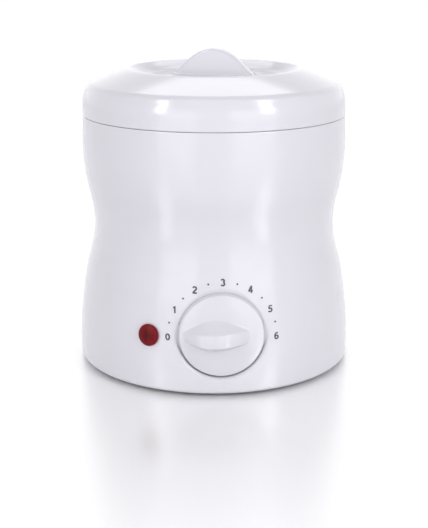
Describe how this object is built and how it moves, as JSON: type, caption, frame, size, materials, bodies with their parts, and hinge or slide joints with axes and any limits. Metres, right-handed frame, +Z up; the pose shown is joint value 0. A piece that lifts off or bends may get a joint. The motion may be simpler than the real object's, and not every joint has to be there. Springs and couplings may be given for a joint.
{
  "type": "wax warmer",
  "caption": "Table-top wax warmer: a waisted white housing round a heated well, a lift-out metal pot with a bail, a lift-off lid with a half-moon grip, a dial and a red lamp.",
  "frame": {"origin": "on the body's axis, in the plane of the table under the feet", "axes": "+Z up along the body's axis; the dial faces -Y and the inlet +Y; +X is to the right of someone facing the dial"},
  "size_m": [0.1568, 0.173, 0.177],
  "materials": {
    "white_plastic": "moulded, high gloss",
    "dark_plastic": "moulded, fine texture",
    "red_lens": "clear-red, polished",
    "natural_nylon": "moulded",
    "aluminium": "drawn and brushed",
    "zinc_steel": "zinc plated",
    "stainless_wire": "bright drawn wire",
    "copper": "bright drawn",
    "brass": "stamped, nickel flash",
    "mica": "mica laminate",
    "glass_felt": "needled glass felt",
    "silicone": "moulded",
    "rubber": "moulded, matte",
    "brown_insulation": "extruded",
    "blue_insulation": "extruded",
    "green_insulation": "extruded",
    "glass_sleeve": "braided glass sleeve"
  },
  "bodies": {
    "housing": {"band_heater": "mica", "bottom_cover": "dark_plastic", "bulb_clip": "zinc_steel", "capillary_tube": "copper", "clamp_screw": "zinc_steel", "cover_screw_1": "zinc_steel", "cover_screw_2": "zinc_steel", "cover_screw_3": "zinc_steel", "cover_screw_4": "zinc_steel", "foot_1": "rubber", "foot_2": "rubber", "foot_3": "rubber", "foot_4": "rubber", "fuse_clip": "zinc_steel", "heater_clamp": "zinc_steel", "heating_well": "aluminium", "inlet_body": "dark_plastic", "inlet_pin_earth": "brass", "inlet_pin_live": "brass", "inlet_pin_neutral": "brass", "insulation_wrap": "glass_felt", "lamp_capsule": "natural_nylon", "lamp_lead": "glass_sleeve", "lamp_lens": "red_lens", "lamp_ring": "zinc_steel", "outer_housing": "white_plastic", "sensor_bulb": "copper", "terminal_block": "natural_nylon", "thermal_fuse": "zinc_steel", "thermostat_body": "dark_plastic", "thermostat_bracket": "zinc_steel", "thermostat_screw_1": "zinc_steel", "thermostat_screw_2": "zinc_steel", "thermostat_tab_1": "brass", "thermostat_tab_2": "brass", "well_gasket": "silicone", "well_screw_1": "zinc_steel", "well_screw_2": "zinc_steel", "well_screw_3": "zinc_steel", "well_screw_4": "zinc_steel", "wire_earth_in": "green_insulation", "wire_from_heater": "glass_sleeve", "wire_live_in": "brown_insulation", "wire_neutral_in": "blue_insulation", "wire_to_heater": "glass_sleeve", "wire_to_thermostat": "brown_insulation"},
    "knob": {"knob": "white_plastic", "knob_clip": "zinc_steel", "thermostat_shaft": "zinc_steel"},
    "pot": {"inner_pot": "aluminium", "bail_ear_left": "zinc_steel", "bail_ear_right": "zinc_steel"},
    "bail": {"pot_bail": "stainless_wire"},
    "lid": {"lid": "white_plastic"}
  },
  "joints": [
    {"name": "pot_lift", "type": "slide", "parent": "housing", "child": "pot", "axis": [0, 0, 1], "range_m": [0, 0.11]},
    {"name": "lid_lift", "type": "slide", "parent": "pot", "child": "lid", "axis": [0, 0, 1], "range_m": [0, 0.12]},
    {"name": "bail_swing", "type": "hinge", "parent": "pot", "child": "bail", "pos_m": [0, 0, 0.1436], "axis": [1, 0, 0], "range_deg": [0, 90]},
    {"name": "dial_turn", "type": "hinge", "parent": "housing", "child": "knob", "pos_m": [0, -0.0732, 0.0338], "axis": [0, 1, 0], "range_deg": [0, 183]}
  ],
  "couplings": [
    {"joint": "bail_swing", "follows": "lid_lift", "rad_per_m": 13.08}
  ]
}
